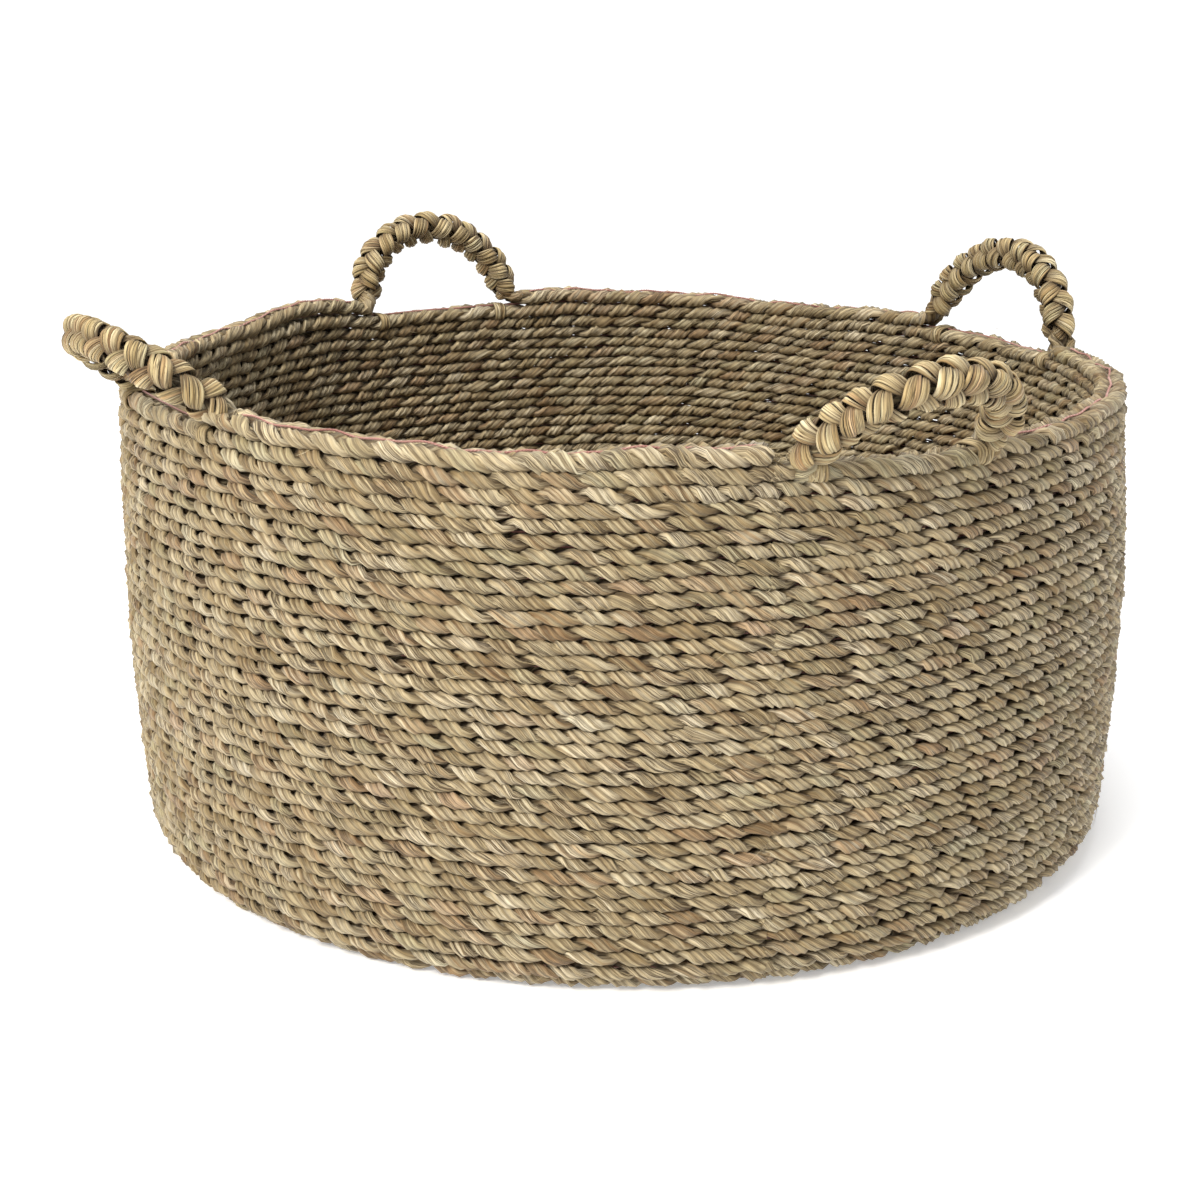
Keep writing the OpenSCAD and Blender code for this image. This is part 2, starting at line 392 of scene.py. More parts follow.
def braid(route, phase, sway, hump, size, seed, strip):
    """The three strands of a flat braid along a route."""
    rng = np.random.default_rng(seed)
    strands = []
    for k in range(3):
        turn = phase + k * TURN / 3
        turn = turn + ripple(rng, route.length, (0.043, 0.079, 0.151), 0.2)
        aside = sway * np.sin(turn) + ripple(rng, route.length, (0.023, 0.041), 0.3 * MM)
        over = hump * np.sin(2 * turn) + ripple(rng, route.length, (0.021, 0.037), 0.24 * MM)
        over = over * route.stout
        line = route.middle + route.wide * aside[:, None] + route.thick * over[:, None]
        heading = route.wide * (sway * np.cos(turn))[:, None]
        heading = heading + route.thick * (2 * hump * np.cos(2 * turn))[:, None]
        roll = ripple(rng, route.length, (0.017, 0.033, 0.062), 0.3)[:, None]
        heading = unit(heading)
        heading = heading + np.cross(unit(np.gradient(line, axis=0)), heading) * roll
        girth = size * rng.uniform(0.97, 1.05) * (
            1 + ripple(rng, route.length, (0.031, 0.057, 0.13), 0.05)
        )
        girth = girth * (1 + 0.6 * (route.stout - 1)) * (0.97 + 0.2 * FULLNESS.along(k, turn))
        lens = 0.1 + 0.14 * ease(route.course) * ease(COURSES - route.course)
        girth = girth * (1.1 - lens * np.cos(turn) ** 2)
        # How much of each strand shows on top; the material paints shade where it dives under the
        # others
        shown = np.maximum(np.abs(np.sin(turn)), np.sin(2 * turn))
        strands.append(Strand(
            line, unit(heading), girth, TONES.along(k, turn), TINTS.along(k, turn),
            np.clip(shown, 0, 1), strip + k,
        ))
    return strands


BRAID = long_braid()
PHASE_RNG = np.random.default_rng(5)
BRAID_PHASE = TURN * BRAID.length / PLAIT_PERIOD + ripple(
    PHASE_RNG, BRAID.length, (0.118, 0.205, 0.37, 0.67), 0.75
)


def part_of_braid(low, high):
    """The stretch of the long braid between two heights, in courses, and its phase."""
    first = max(np.searchsorted(BRAID.course, low) - 1, 0)
    last = np.searchsorted(BRAID.course, high) + 1
    return Route(*(values[first:last] for values in BRAID)), BRAID_PHASE[first:last]


# ---------------------------------------------------------------- finishes
def colour(text):
    """Linear colour from the usual six hexadecimal digits."""
    shares = [int(text[k:k + 2], 16) / 255 for k in (0, 2, 4)]
    return [s / 12.92 if s <= 0.04045 else ((s + 0.055) / 1.055) ** 2.4 for s in shares] + [1]


class Wire:
    """The output of a shader node. Sums on it add Math nodes."""

    def __init__(self, finish, socket):
        self.finish = finish
        self.socket = socket

    def math(self, operation, first, second):
        return self.finish.node("ShaderNodeMath", {"operation": operation}, {0: first, 1: second})

    def __add__(self, other):
        return self.math("ADD", self, other)

    def __sub__(self, other):
        return self.math("SUBTRACT", self, other)

    def __mul__(self, other):
        return self.math("MULTIPLY", self, other)

    def __radd__(self, other):
        return self.math("ADD", other, self)

    def __rsub__(self, other):
        return self.math("SUBTRACT", other, self)

    def __pow__(self, other):
        return self.math("POWER", self, other)

    def __abs__(self):
        return self.math("ABSOLUTE", self, 0.0)


class Finish:
    """A material under construction."""

    def __init__(self, name):
        self.material = bpy.data.materials.new(name)
        self.material.use_nodes = True
        self.tree = self.material.node_tree
        self.tree.nodes.clear()

    def node(self, kind, settings=None, sockets=None, output=0):
        made = self.tree.nodes.new(kind)
        for label, value in (settings or {}).items():
            if label == "stops":
                ramp = made.color_ramp
                while len(ramp.elements) < len(value):
                    ramp.elements.new(1)
                for element, (position, shade) in zip(ramp.elements, value):
                    element.position = position
                    element.color = shade
            else:
                setattr(made, label, value)
        for label, value in (sockets or {}).items():
            if isinstance(value, Wire):
                self.tree.links.new(value.socket, made.inputs[label])
            else:
                made.inputs[label].default_value = value
        return Wire(self, made.outputs[output]) if len(made.outputs) else None

    def attribute(self, name):
        return self.node("ShaderNodeAttribute", {"attribute_name": name}, output="Fac")

    def ramp(self, value, stops):
        return self.node("ShaderNodeValToRGB", {"stops": stops}, {"Fac": value})

    def mix(self, share, first, second, blend="MIX"):
        settings = {"data_type": "RGBA", "blend_type": blend}
        return self.node("ShaderNodeMix", settings, {0: share, 6: first, 7: second}, output=2)

    def noise(self, vector, scale, detail=2.0):
        sockets = {"Vector": vector, "Scale": scale, "Detail": detail}
        return self.node("ShaderNodeTexNoise", {}, sockets)

    def stretched_uv(self, along, across):
        """The piece's UV, scaled so that a pattern runs out long and narrow."""
        uv = self.node("ShaderNodeTexCoord", output="UV")
        return self.node("ShaderNodeMapping", {}, {"Vector": uv, "Scale": (along, across, 1)})

    def close(self, **sockets):
        shader = self.node("ShaderNodeBsdfPrincipled", {}, sockets)
        self.node("ShaderNodeOutputMaterial", {}, {"Surface": shader})
        return self.material


# Colour of the painted shadow in thin crease lines between blades
CREASE_SHADOW = "38280f"


def seagrass(name, shades, gap_shadow, blades=9.0, gap_strength=0.85, furrows=0.6):
    """Dried blades of seagrass: five shades from dark to pale, and the colour of the painted
    shadow in the gaps.
    """
    finish = Finish(name)
    tone = finish.attribute("tone")
    tint = finish.attribute("tint")
    depth = finish.attribute("depth")
    ridge = finish.attribute("ridge")
    blade = finish.noise(finish.stretched_uv(14, blades), 1.0, 1.0)
    fibre = finish.noise(finish.stretched_uv(130, blades * 9), 1.0, 3.0)
    crease_wave = finish.noise(finish.stretched_uv(30, blades * 1.9), 1.0, 1.5)
    fine_crease_wave = finish.noise(finish.stretched_uv(46, blades * 3.1), 1.0, 1.0)
    patch = finish.noise(finish.node("ShaderNodeTexCoord", output="Object"), 55.0, 2.0)
    value = tone * 0.42 + blade * 0.7 + fibre * 0.3 + patch * 0.3 - 0.38
    stops = [(k / 4, colour(shade)) for k, shade in enumerate(shades)]
    base = finish.ramp(value, stops)
    cast = finish.ramp(tint + (blade - 0.5) * 0.8, [
        (0.08, colour("cfa47a")), (0.36, colour("ede2cc")), (0.66, colour("efe7d4")),
        (0.95, colour("cccbab")),
    ])
    base = finish.mix(0.6, base, finish.mix(1.0, base, cast, "MULTIPLY"))
    # Painted shade in the furrows between blades, where the ridge value is low
    furrow = (1 - ridge) ** 1.6 * furrows
    # Thin dark lines of painted shadow along the creases between blades, weaker in some patches
    lines = finish.ramp(abs(crease_wave - 0.5), [(0.012, (1, 1, 1, 1)), (0.05, (0, 0, 0, 1))])
    fine_creases = finish.ramp(abs(fine_crease_wave - 0.46), [(0.008, (1, 1, 1, 1)), (0.035, (0, 0, 0, 1))])
    crease_strength = finish.ramp(patch, [(0.38, (0.4, 0.4, 0.4, 1)), (0.58, (1, 1, 1, 1))])
    creases = finish.node("ShaderNodeMath", {"operation": "MAXIMUM"}, {0: lines, 1: fine_creases * 0.75})
    # The base colour darkened by the gap colour, for painted shade in furrows and recesses
    dark = finish.mix(1.0, base, colour(gap_shadow), "MULTIPLY")
    base = finish.mix(furrow, base, dark)
    base = finish.mix(creases * crease_strength * 0.9, base, colour(CREASE_SHADOW))
    # Painted shade where a strand dives under the others, from how little of it shows
    sunk = (1 - depth) ** 0.65 * gap_strength
    base = finish.mix(sunk, base, dark)
    height = fibre * 0.35 + blade * 0.4 + ridge * 0.3 - creases * 0.5
    bump = finish.node("ShaderNodeBump", {}, {
        "Strength": 0.6, "Distance": 0.5 * MM, "Height": height,
    })
    return finish.close(**{
        "Base Color": base,
        "Roughness": 0.5 + fibre * 0.3,
        "Normal": bump,
        "Specular IOR Level": 0.34,
        "Sheen Weight": 0.08,
        "Sheen Roughness": 0.5,
    })


def spun_thread(name):
    """Two-ply cotton, faded from red to pink."""
    finish = Finish(name)
    fuzz = finish.noise(finish.stretched_uv(900, 8), 1.0, 3.0)
    fade = finish.noise(finish.stretched_uv(25, 1), 1.0, 1.0)
    shade = finish.ramp(fade + (fuzz - 0.5) * 0.5, [
        (0.25, colour("7c4a40")), (0.5, colour("a3746a")), (0.8, colour("bb9a8e")),
    ])
    bump = finish.node("ShaderNodeBump", {}, {
        "Strength": 0.6, "Distance": 0.2 * MM, "Height": fuzz,
    })
    return finish.close(**{
        "Base Color": shade, "Roughness": 0.75 + fuzz * 0.15, "Normal": bump,
        "Sheen Weight": 0.25,
    })


WALL_GRASS = seagrass(
    "dried_seagrass_wall", ("5f4a2f", "a08c66", "cbbd9c", "e8dfc8", "fbf7ee"), "4c351d",
)
BASE_GRASS = seagrass(
    "dried_seagrass_base", ("5e4a30", "967f5a", "b8a682", "d0c2a2", "e8dec6"), "553c22",
)
# The handles' blades get stronger painted shade in their gaps and furrows
HANDLE_GRASS = seagrass(
    "plaited_seagrass_blades", ("6b5430", "ab9468", "d2c197", "eadfbf", "faf5e6"), "503618",
    blades=1.6, gap_strength=0.9, furrows=0.75,
)
THREAD_COTTON = spun_thread("faded_pink_cotton")


# ---------------------------------------------------------------- base and wall
def coil_piece(name, low, high, shape, finish, nodes, slot, seed):
    """The stretch of the long braid between two heights, in courses."""
    route, phase = part_of_braid(low, high)
    strands = braid(route, phase, SWAY, HUMP, 1.0, seed, 3 * seed)
    made = piece(name, strands, shape, finish, seed)
    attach(made, "basket")
    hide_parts(*nodes)


def make_base():
    start = BRAID.course[0]
    middle_split = start + 1.6
    # half of the mat's length lies inside 0.7 of its radius
    outer_split = start + 0.7 * (END_SHARE - start)
    coil_piece("base_coil_start", start, middle_split, COARSE, BASE_GRASS, ["base_start"],
               "base_braid", 101)
    coil_piece("base_mat_inner", middle_split, outer_split, COARSE, BASE_GRASS, ["base_coil"],
               "base_braid", 102)
    coil_piece("base_mat_outer", outer_split, END_SHARE, COARSE, BASE_GRASS, ["base_coil"],
               "base_braid", 103)


def make_wall():
    for k in range(1, COURSES + 1):
        coil_piece(f"braid_course_{k:02d}", k - 1 + END_SHARE, k + END_SHARE, BUNDLE, WALL_GRASS,
                   [f"wall_course_{k:02d}"], "wall_braid", 200 + k)


make_base()
make_wall()

# ---------------------------------------------------------------- handles
LEAN_LIMIT = 68                  # a handle swings outwards until it leans this many degrees
PLAIT_LAY = 27 * MM              # length in which a strand goes once round the handle
PLAIT_RINGS = 28                 # rings of faces in one such length
PLAIT_MIDDLE = 7.1 * MM          # from the handle's middle to its strands' middles
PLAIT_HUMP = 1.8 * MM            # how far they rise and dip
BLADES = 8                       # blades side by side in one strand
BLADE_SPACING = 1.2 * MM
NECK = 9 * MM                    # length in which the plait narrows towards a foot
FOOT_GAP = 8 * MM                # from a foot to the cut end of the rim's braid beside it
TIE_OFFSET = 6.5 * MM            # from a foot to its tie
PLAIT_INSET = 1.5 * MM           # from a foot to the end of the plait
# A core lies open for this length at each end, and narrows under the plait over the same length
COVER_LENGTH = 12 * MM
# Heights above a foot for a change from the rim's body to the handle's; blended doesn't apply it
BLEND_FROM = 1 * MM
BLEND_TO = 14 * MM
# In millimetres: rise of each arch, how far its top leans along the rim, and lift of its feet
HANDLE_SHAPES = {
    "front_right": (52, 4, -3),
    "back_right": (46, -6, 0),
    "back_left": (50, 8, 1),
    "front_left": (54, 0, 6),
}


class Handle:
    """Where one handle stands, and the bend of its arch."""

    def __init__(self, name):
        self.name = name
        joint = JOINTS[name + "_handle"]
        self.hinge = np.array(joint["pos_m"])
        self.azimuth = math.atan2(self.hinge[1], self.hinge[0])
        self.half_span = math.sqrt(WALL_RADIUS ** 2 - self.hinge[0] ** 2 - self.hinge[1] ** 2)
        self.half_angle = math.asin(self.half_span / WALL_RADIUS)
        lean = math.radians(LEAN_LIMIT - joint["range_deg"][1])
        east, north = math.cos(self.azimuth), math.sin(self.azimuth)
        self.sideways = np.array([-north, east, 0])
        self.upward = np.array([east * math.sin(lean), north * math.sin(lean), math.cos(lean)])
        self.inward = np.array([-east * math.cos(lean), -north * math.cos(lean), math.sin(lean)])

        rise, skew, lift = (size * MM for size in HANDLE_SHAPES[name])
        arch_radius = (self.half_span ** 2 + rise ** 2) / (2 * rise)
        half_arch = math.acos((arch_radius - rise) / arch_radius)
        angle = np.linspace(-half_arch, half_arch, 241)
        self.up = rise - arch_radius + arch_radius * np.cos(angle)
        self.aside = arch_radius * np.sin(angle) + skew * self.up / rise
        self.lift = np.array([0, 0, lift])
        steps = np.hypot(np.diff(self.aside), np.diff(self.up))
        self.run = np.concatenate([[0], np.cumsum(steps)])
        self.length = self.run[-1]

    def bend(self, points):
        """Moves points from a straight handle along +X onto the arch."""
        aside = np.interp(points[:, 0], self.run, self.aside)
        up = np.interp(points[:, 0], self.run, self.up)
        ahead = np.interp(points[:, 0], self.run, np.gradient(self.aside, self.run))
        climb = np.interp(points[:, 0], self.run, np.gradient(self.up, self.run))
        steep = np.hypot(ahead, climb)
        aside = aside - points[:, 2] * climb / steep
        up = up + points[:, 2] * ahead / steep
        return (
            self.hinge + self.lift + np.outer(aside, self.sideways) + np.outer(up, self.upward)
            + np.outer(points[:, 1], self.inward)
        )

    def blended(self, made, *nodes):
        """Bakes a piece's placement into its mesh and hides the parts that it stands for."""
        low = self.hinge + self.upward * BLEND_FROM
        high = self.hinge + self.upward * BLEND_TO
        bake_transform(made)
        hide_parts(*nodes)


def plait_strands(length, seed):
    """Four strands of flat blades, plaited round a straight handle along +X."""
    rng = np.random.default_rng(seed)
    x = np.arange(PLAIT_INSET, length - PLAIT_INSET, PLAIT_LAY / PLAIT_RINGS)
    course = TURN * x / PLAIT_LAY + ripple(rng, x, (0.041, 0.077), 0.3)
    twist = rng.uniform(0, TURN) + ripple(rng, x, (0.31, 0.17), 0.5)
    end = np.minimum(x, length - x)
    neck = 0.66 + 0.34 * ease(end / NECK)
    neck = neck * (1 + ripple(rng, x, (0.033, 0.061), 0.04))
    strands = []
    for k in range(4):
        hand = 1 if k < 2 else -1
        turn = hand * course + (k % 2) * math.pi
        shown = 0.5 + 0.5 * hand * np.cos(2 * turn)
        radius = neck * (PLAIT_MIDDLE + PLAIT_HUMP * (2 * shown - 1))
        slope = radius * np.gradient(turn + twist, x)
        norm = np.sqrt(1 + slope ** 2)
        gather = (0.5 + 0.5 * shown ** 0.7) * neck
        strand_tone = rng.uniform(0.35, 0.65)
        strand_tint = rng.uniform(0.3, 0.7)
        for j in range(BLADES):
            place_across = (j - (BLADES - 1) / 2) + ripple(rng, x, (0.016, 0.031), 0.34)
            offset = place_across * BLADE_SPACING * gather
            share = 2 * place_across / BLADES
            crown = (1.5 * shown * (1 - share ** 2) + rng.uniform(-0.35, 0.35)) * MM
            angle = turn + twist + offset / norm / radius
            away = radius + crown
            line = np.stack([
                x - offset * slope / norm, away * np.cos(angle), away * np.sin(angle)
            ], -1)
            around = np.stack([np.zeros_like(x), -np.sin(angle), np.cos(angle)], -1)
            outward = np.stack([np.zeros_like(x), np.cos(angle), np.sin(angle)], -1)
            across = around / norm[:, None]
            across[:, 0] -= slope / norm
            roll = -0.45 * share + 0.16 + ripple(rng, x, (0.023, 0.051), 0.22)
            across = across + outward * roll[:, None]
            girth = gather * rng.uniform(0.6, 0.9) * (1 + ripple(rng, x, (0.013, 0.029), 0.1))
            tone = np.clip(strand_tone + rng.uniform(-0.45, 0.45) + 0 * x, 0, 1)
            tint = np.clip(strand_tint + rng.uniform(-0.3, 0.3) + 0 * x, 0, 1)
            # The material paints shade on a blade where shown is low and it passes under the
            # others
            strands.append(Strand(
                line, unit(across), girth, tone, tint, shown, seed * 30 + k * BLADES + j
            ))
    return strands


def smooth_line(points, spacing):
    """Evenly spaced points on a smooth curve through the given ones."""
    points = np.array(points)
    padded = np.vstack([2 * points[0] - points[1], points, 2 * points[-1] - points[-2]])
    share = np.linspace(0, 1, 13)[:-1, None]
    bends = []
    for a, b, c, d in zip(padded, padded[1:], padded[2:], padded[3:]):
        bends.append(0.5 * (
            2 * b + (c - a) * share + (2 * a - 5 * b + 4 * c - d) * share ** 2
            + (3 * b - a - 3 * c + d) * share ** 3
        ))
    line = np.vstack(bends + [points[-1:]])
    run = np.concatenate([[0], np.cumsum(np.linalg.norm(np.diff(line, axis=0), axis=1))])
    spots = np.linspace(0, run[-1], max(int(run[-1] / spacing), 3))
    return np.stack([np.interp(spots, run, line[:, axis]) for axis in range(3)], -1), spots


def phase_at(course):
    return np.interp(course, BRAID.course, BRAID_PHASE)


def make_core(handle, seed):
    """The rim's braid, which leaves the rim at one foot and comes back to it at the other."""
    name = handle.name
    inside = np.arange(9 * MM, handle.length - 8 * MM, 7 * MM)
    arch = handle.bend(np.stack([inside, 0 * inside, 0 * inside], -1))
    ends, phases = [], []
    for side in (-1, 1):
        foot = handle.azimuth + side * handle.half_angle
        if name == "front_right":
            spots = np.array([foot])
        else:
            spots = foot + side * np.array([FOOT_GAP + 1.5 * MM, FOOT_GAP - 3 * MM]) / WALL_RADIUS
        courses = course_over(spots, COURSES + 1)
        ends.append(place(courses)[0])
        phases.append(phase_at(courses[0]))
    line, run = smooth_line(
        np.vstack([ends[0], arch, ends[1][::-1]]), PLAIT_PERIOD / WALL_RINGS
    )
    full_turns = round((TURN * run[-1] / PLAIT_PERIOD - phases[1] + phases[0]) / TURN)
    phase = phases[0] + (phases[1] - phases[0] + TURN * full_turns) * run / run[-1]
    bare = np.minimum(run, run[-1] - run) - COVER_LENGTH
    hidden = ease(bare / COVER_LENGTH)[:, None]
    radial = unit(line * (1, 1, 0))
    along = unit(np.gradient(line, axis=0))
    wide = radial * (1 - hidden) - handle.inward * hidden
    wide = unit(wide - along * (wide * along).sum(1)[:, None])
    hidden = hidden[:, 0]
    stout = 1 + RIM_GROWTH - RIM_GROWTH * hidden
    route = Route(run, run, line, wide, np.cross(wide, along), stout)
    strands = braid(
        route, phase, SWAY * (1 - 0.72 * hidden), HUMP * (1 - 0.5 * hidden),
        1 - 0.5 * hidden, seed, 3 * seed,
    )
    core = piece(name + "_core_braid", strands, BUNDLE, WALL_GRASS, seed)
    handle.blended(core, name + "_handle_core")


def make_plait(handle, seed):
    strands = plait_strands(handle.length, seed)
    plait = piece(
        handle.name + "_plait", strands, BLADE, HANDLE_GRASS, seed, 0.06, handle.bend
    )
    handle.blended(plait, handle.name + "_handle_plait")


def top_turn(handle):
    """The turn of the long braid that lies on top between this handle's feet."""
    return COURSES + 1 if handle.name == "front_right" else COURSES


def make_ties(handle, seed):
    """Flat blades looped round the braid below, one band beside each foot."""
    rng = np.random.default_rng(seed)
    around = np.linspace(-0.35 * math.pi, 4.3 * math.pi, 84)
    strands = []
    for side in (-1, 1):
        middle = handle.azimuth + side * (handle.half_angle - TIE_OFFSET / WALL_RADIUS)
        for j in range(4):
            slant = (j - 1.5) * 1.5 * MM + ripple(rng, around, (4.0, 7.0), 0.5 * MM)
            azimuth = middle + (slant + 1.2 * MM * (around / TURN - 1)) / WALL_RADIUS
            course = course_over(azimuth, top_turn(handle))
            reach = 1 + 0.03 * j + ripple(rng, around, (3.0, 5.0), 0.03)
            square = (np.abs(np.cos(around)) ** 3 + np.abs(np.sin(around)) ** 3) ** (-1 / 3)
            wide = (BRAID_WIDTH / 2 + 0.9 * MM) * reach * square * np.cos(around)
            thick = (HUMP * 1.3 + 2.9 * MM) * reach * square * np.sin(around)
            line = place(course, wide[:, None], thick[:, None])[0]
            sideways = unit(np.cross(place(course)[1], place(course)[2]))
            tone = rng.uniform(0.3, 0.9) + 0 * around
            strands.append(Strand(
                line, sideways, rng.uniform(0.75, 0.95) + 0 * around, tone,
                rng.uniform(0.3, 0.6) + 0 * around, 1 + 0 * around, seed * 10 + j,
            ))
    ties = piece(handle.name + "_foot_bindings", strands, BLADE, HANDLE_GRASS, seed)
    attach(ties, "basket")
    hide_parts(handle.name + "_foot_ties")


def rim_stretch(handle, following):
    """The two ends of the rim's braid between a handle and the next, in courses."""
    top = COURSES + 1
    gap = FOOT_GAP / WALL_RADIUS
    low = course_over(handle.azimuth + handle.half_angle + gap, top)
    high = course_over(following.azimuth - following.half_angle - gap, top)
    if handle.name == "front_right":
        low = COURSES + END_SHARE
    if following.name == "front_right":
        high = LAST
    return low, high


def make_rim(handle, following, seed):
    coil_piece(handle.name + "_rim_length", *rim_stretch(handle, following), BUNDLE, WALL_GRASS,
               [handle.name + "_rim_braid"], "rim_braid", seed)


HANDLES = [Handle(name) for name in ("front_right", "back_right", "back_left", "front_left")]
for index, handle in enumerate(HANDLES):
    make_core(handle, 301 + index)
    make_plait(handle, 311 + index)
    make_ties(handle, 321 + index)
    make_rim(handle, HANDLES[(index + 1) % 4], 331 + index)

# ---------------------------------------------------------------- thread and loose ends
THREAD_LAY = 3.2 * MM            # length in which a ply goes once round the thread
PLY_OFFSET = 0.33 * MM           # from the thread's middle to the middle of a ply
THREAD_HEIGHT = 3.8 * MM         # of the rim's thread over the middle of its braid
THREAD_INSET = 8 * MM            # from the end of a length of rim to the thread's end
SEAM_POINTS = 90                 # points of the seam thread in one turn
STITCH_SEAM = 3
STITCH_FROM = 212                # directions of the loose stitch's two ends
STITCH_TO = 219
FRAYED_BLADES = 26
STRAY_FIBRES = 420


def plain_strand(line, size, strip, tone=0.5, tint=0.5):
    """A strand whose section may lie any way round."""
    along = unit(np.gradient(line, axis=0))
    ones = np.ones(len(line))
    across = unit(np.cross(along, np.array([0.3, 0.2, 1.0])))
    return Strand(line, across, size * ones, tone * ones, tint * ones, ones, strip)


def two_ply(line, spots):
    """The two plies of a thread along a line, from each point's distance along it."""
    along = unit(np.gradient(line, axis=0))
    side = unit(np.cross(along, np.array([0.0, 0.0, 1.0])))
    top = np.cross(side, along)
    plies = []
    for start in (0, math.pi):
        angle = (TURN * spots / THREAD_LAY + start)[:, None]
        plies.append(line + PLY_OFFSET * (side * np.cos(angle) + top * np.sin(angle)))
    return plies


def make_rim_thread():
    """Thread that runs along the middle of the rim's top and dips between its strands."""
    rng = np.random.default_rng(61)
    strands = []
    for index, handle in enumerate(HANDLES):
        low, high = rim_stretch(handle, HANDLES[(index + 1) % 4])
        inset = THREAD_INSET / (TURN * WALL_RADIUS)
        if handle.name == "front_right":
            low = course_over(handle.azimuth + handle.half_angle + 2 * inset, COURSES + 1)
        length = (high - low - 2 * inset) * TURN * WALL_RADIUS
        spots = np.arange(0, length, 0.65 * MM)
        course = low + inset + spots / (TURN * WALL_RADIUS)
        aside = ripple(rng, spots, (0.043, 0.081), 0.9 * MM)
        above = THREAD_HEIGHT + ripple(rng, spots, (0.024, 0.047, 0.33), 0.8 * MM)
        line = place(course, aside[:, None], above[:, None])[0]
        for k, ply in enumerate(two_ply(line, spots)):
            strands.append(plain_strand(ply, 1.0, 2 * index + k))
    thread = piece("rim_sewing_thread", strands, THREAD, THREAD_COTTON, 61, 0.05)
    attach(thread, "basket")
    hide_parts("rim_thread")


def make_seam_thread():
    """Thread that joins each turn of the wall's braid to the next."""
    course = np.arange(END_SHARE - 1, COURSES + END_SHARE - 0.02, 1 / SEAM_POINTS)
    lower, upper = place(course)[0], place(course + 1)[0]
    thread = piece(
        "wall_sewing_thread", [plain_strand((lower + upper) / 2, 1.5, 0)], THREAD,
        THREAD_COTTON, 62, 0.05,
    )
    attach(thread, "basket")
    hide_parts("wall_thread")


def on_the_wall(degrees, seam, out):
    """A point in an outer groove, with the directions along, outwards and up there."""
    azimuth = np.array([math.radians(degrees)])
    course = course_over(azimuth, COURSES + 1 - seam) + 0.5
    point, wide, thick = place(course, BRAID_WIDTH / 2 + out)
    return point[0], np.cross(thick[0], wide[0]), wide[0], thick[0]


def make_knots():
    """Small overhand knots with two short tails, and one loose stitch on the wall."""
    rng = np.random.default_rng(63)
    strands = []
    angle = np.linspace(0, TURN * 0.97, 34)
    for number, (degrees, seam) in enumerate(KNOTS):
        point, along, wide, thick = on_the_wall(degrees, seam, -0.2 * MM)
        wobble = (1.3 + 0.45 * np.cos(3 * angle)) * MM
        loop = (
            point + np.outer(wobble * np.cos(2 * angle), along)
            + np.outer(wobble * np.sin(2 * angle), thick)
            + np.outer(0.7 * MM * np.sin(3 * angle), wide)
        )
        strands.append(plain_strand(loop, 1.35, 10 + 3 * number))
        for k in range(2):
            reach = np.linspace(0, rng.uniform(5, 11) * MM, 9)
            heading = unit(
                along * rng.uniform(-1, 1) + wide * rng.uniform(0.2, 0.7)
                - thick * rng.uniform(0.1, 1)
            )
            tail = point + np.outer(reach, heading) - np.outer(reach ** 2 * 30, (0, 0, 1.0))
            strands.append(plain_strand(tail, 1.0, 11 + 3 * number + k))
    stitch = []
    for degrees in np.linspace(STITCH_FROM, STITCH_TO, 16):
        share = (degrees - (STITCH_FROM + STITCH_TO) / 2) / (STITCH_TO - STITCH_FROM)
        stitch.append(on_the_wall(degrees, STITCH_SEAM, (0.2 - 6 * share ** 4) * MM)[0])
    strands.append(plain_strand(np.array(stitch), 1.3, 60))
    knots = piece("thread_knots_and_tails", strands, THREAD, THREAD_COTTON, 63, 0.08)
    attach(knots, "basket")
    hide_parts("thread_knots")


def make_frayed_end():
    """Blades that splay out where the long braid ends."""
    rng = np.random.default_rng(71)
    point, wide, thick = place(np.array([LAST - 0.003]))
    point, wide, thick = point[0], wide[0], thick[0]
    along = np.cross(wide, thick)
    if np.dot(along, place(np.array([LAST]))[0][0] - point) < 0:
        along = -along
    strands = []
    for number in range(FRAYED_BLADES):
        start = point + wide * rng.uniform(-5, 5) * MM + thick * rng.uniform(-2.5, 2.5) * MM
        heading = unit(
            along + wide * rng.uniform(-0.5, 0.6) + thick * rng.uniform(-0.5, 0.35)
        )
        reach = np.linspace(-6 * MM, rng.uniform(3, 12) * MM, 10)
        line = start + np.outer(reach, heading) - np.outer(reach ** 2 * rng.uniform(5, 30), thick)
        strand = plain_strand(line, rng.uniform(0.4, 0.8), number, rng.uniform(0.3, 1), 0.5)
        taper = np.linspace(1, 0.35, 10)
        strands.append(strand._replace(size=strand.size * taper))
    tuft = piece("frayed_braid_end", strands, BLADE, HANDLE_GRASS, 71)
    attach(tuft, "basket")


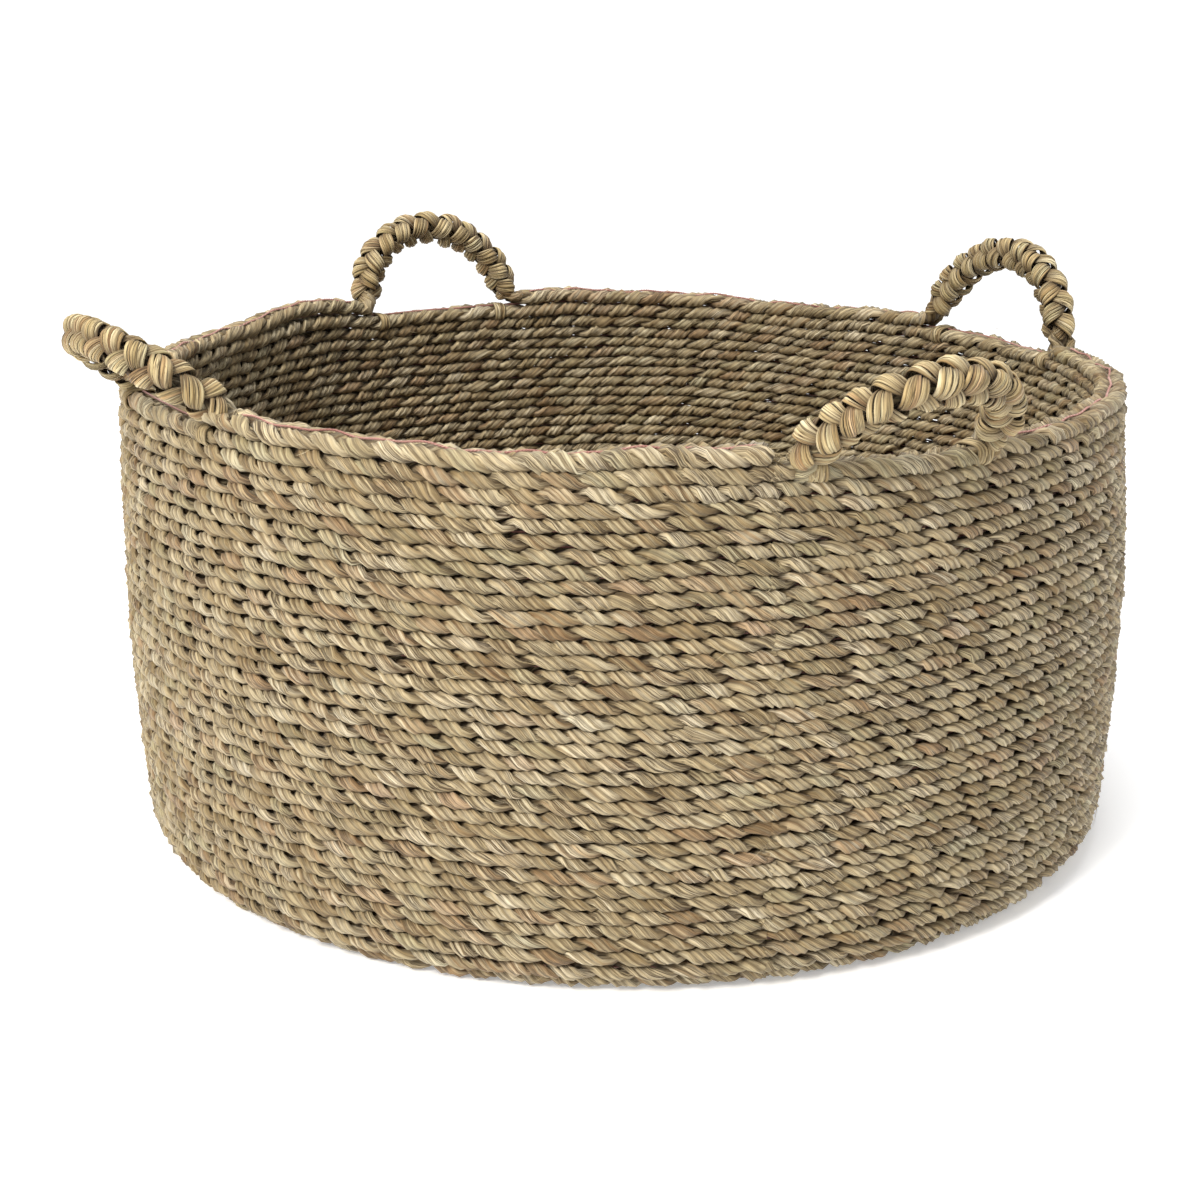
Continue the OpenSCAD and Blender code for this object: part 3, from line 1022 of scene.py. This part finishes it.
def make_fibres():
    """Stray fibres that stand off the braid, thickest near the rim and the floor."""
    rng = np.random.default_rng(81)
    strands = []
    for number in range(STRAY_FIBRES):
        course = np.array([COURSES + 0.9 - (COURSES - 1) * rng.uniform(0, 1) ** 1.6])
        course = course + rng.uniform(-0.5, 0.0)
        side = 1 if rng.uniform() < 0.75 else -1
        point, wide, thick = place(course, side * (BRAID_WIDTH / 2 - 1.2 * MM),
                                   rng.uniform(-2.5, 2.5) * MM)
        point, wide, thick = point[0], wide[0] * side, thick[0]
        along = np.cross(wide, thick) * rng.choice([-1, 1])
        heading = unit(along + wide * rng.uniform(0.1, 0.7) + thick * rng.uniform(-0.6, 0.6))
        reach = np.linspace(0, rng.uniform(4, 15) * MM, 6)
        curl = wide * rng.uniform(-30, 6) + thick * rng.uniform(-25, 15)
        line = point + np.outer(reach, heading) + np.outer(reach ** 2, curl)
        strand = plain_strand(line, rng.uniform(0.6, 1.5), number, rng.uniform(0.1, 1), 0.5)
        strands.append(strand._replace(size=strand.size * np.linspace(1, 0.2, 6)))
    fibres = piece("stray_wall_fibres", strands, HAIR, HANDLE_GRASS, 81, 0.0)
    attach(fibres, "basket")


make_rim_thread()
make_seam_thread()
make_knots()
make_frayed_end()
make_fibres()

# ---------------------------------------------------------------- stage, light and camera
WORLD_LIGHT = 0.66               # strength of the even light from all round
BACKDROP_LIGHT = 1.15            # and of the same white where the camera sees it
FLOOR_HALF = 2                   # half the floor's width
FLOOR_GLOW = 0.3
LIGHT_TARGET = (0, 0, 0.12)
CAMERA_PLACE = (0, -1.0973, 0.4347)
CAMERA_DIP = 16.27               # degrees below level
FOCAL_LENGTH = 58.7              # in millimetres, on a frame 36 mm wide
FRAME_WIDTH = 36
LENS_SHIFT = -0.0213


def make_stage():
    floor_mesh = bpy.data.meshes.new("studio_floor")
    shape = bmesh.new()
    bmesh.ops.create_grid(shape, x_segments=1, y_segments=1, size=FLOOR_HALF)
    shape.to_mesh(floor_mesh)
    shape.free()
    floor = bpy.data.objects.new("studio_floor", floor_mesh)
    scene.collection.objects.link(floor)
    paper = Finish("white_paper")
    grain = paper.noise(paper.node("ShaderNodeTexCoord", output="Object"), 40.0)
    floor_mesh.materials.append(paper.close(**{
        "Base Color": paper.mix(grain * 0.1, colour("f7f8fa"), colour("f1f3f6")),
        "Roughness": 0.9,
        "Emission Color": (1, 1, 1, 1),
        "Emission Strength": FLOOR_GLOW,
    }))


def softbox(name, location, size, power, shade):
    """A round lamp turned towards the basket. Its size is in metres and its power in watts."""
    lamp = bpy.data.lights.new(name, "AREA")
    lamp.shape = "DISK"
    lamp.size = size
    lamp.energy = power
    lamp.color = colour(shade)[:3]
    holder = bpy.data.objects.new(name, lamp)
    holder.location = location
    heading = Vector(LIGHT_TARGET) - Vector(location)
    holder.rotation_euler = heading.to_track_quat("-Z", "Y").to_euler()
    scene.collection.objects.link(holder)


def make_light():
    world = bpy.data.worlds.new("white_studio")
    world.use_nodes = True
    tree = world.node_tree
    lit = tree.nodes["Background"]
    lit.inputs["Color"].default_value = (1, 1, 1, 1)
    lit.inputs["Strength"].default_value = WORLD_LIGHT
    seen = tree.nodes.new("ShaderNodeBackground")
    seen.inputs["Color"].default_value = (1, 1, 1, 1)
    seen.inputs["Strength"].default_value = BACKDROP_LIGHT
    path = tree.nodes.new("ShaderNodeLightPath")
    either = tree.nodes.new("ShaderNodeMixShader")
    tree.links.new(path.outputs["Is Camera Ray"], either.inputs[0])
    tree.links.new(lit.outputs[0], either.inputs[1])
    tree.links.new(seen.outputs[0], either.inputs[2])
    tree.links.new(either.outputs[0], tree.nodes["World Output"].inputs["Surface"])
    scene.world = world
    scene.view_settings.view_transform = "Standard"
    softbox("key_softbox", (-1.25, -1.9, 1.9), 0.8, 70, "fffaf2")
    softbox("top_softbox", (-0.1, -0.3, 2.2), 1.2, 34, "ffffff")


def make_camera():
    lens = bpy.data.cameras.new("studio_camera")
    lens.sensor_width = FRAME_WIDTH
    lens.lens = FOCAL_LENGTH
    lens.shift_x = LENS_SHIFT
    camera = bpy.data.objects.new("studio_camera", lens)
    camera.location = CAMERA_PLACE
    camera.rotation_euler = (math.radians(90 - CAMERA_DIP), 0, 0)
    scene.collection.objects.link(camera)
    scene.camera = camera


make_stage()
make_light()
make_camera()
